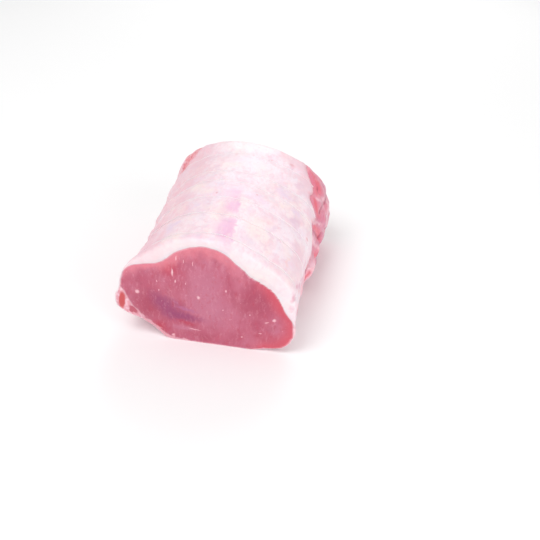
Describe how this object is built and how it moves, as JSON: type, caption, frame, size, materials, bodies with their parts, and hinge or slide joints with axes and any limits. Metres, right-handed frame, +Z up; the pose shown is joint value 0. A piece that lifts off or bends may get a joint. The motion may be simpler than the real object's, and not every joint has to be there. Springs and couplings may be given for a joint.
{
  "type": "raw pork loin joint",
  "caption": "Raw boneless pork loin joint with a domed fat cap, a cut meat face, a bared meaty flank and loops of thin twine round it.",
  "frame": {"origin": "middle of the flat underside, below the middle of the outer box", "axes": "+Y along the loin from the cut face to the far end, +X to the right seen from the cut face, +Z up from the flat underside"},
  "size_m": [0.1242, 0.1502, 0.0772],
  "materials": {
    "lean": "raw pork meat, moist, pale rose red with fine grain",
    "side_muscle": "raw pork meat of a side muscle, moist, redder than the eye",
    "fat": "raw pork fat, smooth, off-white with a pink cast",
    "twine": "thin off-white cotton twine"
  },
  "bodies": {
    "root": {"lean": "lean", "side_muscle": "side_muscle", "fat_cap": "fat", "string_1": "twine", "string_2": "twine", "string_3": "twine", "string_4": "twine", "string_5": "twine", "string_6": "twine"}
  },
  "joints": []
}
